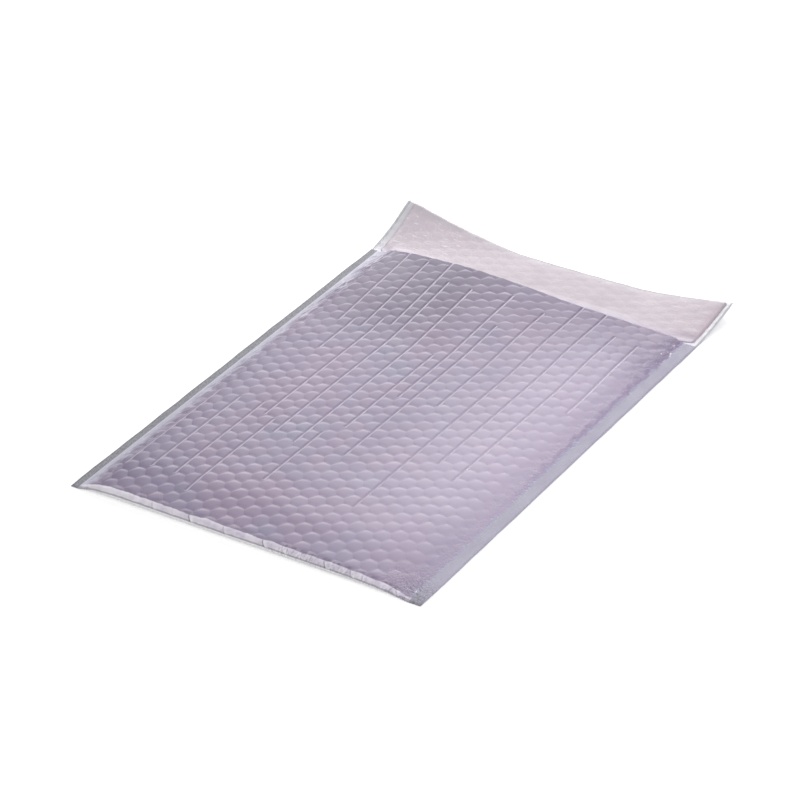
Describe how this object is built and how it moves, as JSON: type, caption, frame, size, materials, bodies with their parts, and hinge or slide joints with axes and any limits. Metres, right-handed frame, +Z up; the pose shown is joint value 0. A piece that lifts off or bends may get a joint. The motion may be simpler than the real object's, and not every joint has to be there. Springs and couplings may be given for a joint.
{
  "type": "padded envelope",
  "caption": "Flat padded mailing envelope of film with a bubble lining, welded at both sides, mouth open and flap laid back.",
  "frame": {"origin": "on the surface that the envelope lies on, under the middle of the sheet's outline, flap included", "axes": "+X across the envelope towards the wider side seal, +Y along it from the fold to the flap, +Z up"},
  "size_m": [0.25, 0.4, 0.0169],
  "materials": {
    "film": "lavender grey film, semi-gloss, pressed over bubbles",
    "lining": "pale pink bubble sheet, soft sheen"
  },
  "bodies": {
    "root": {"outer_film": "film", "bubble_lining": "lining"}
  },
  "joints": []
}
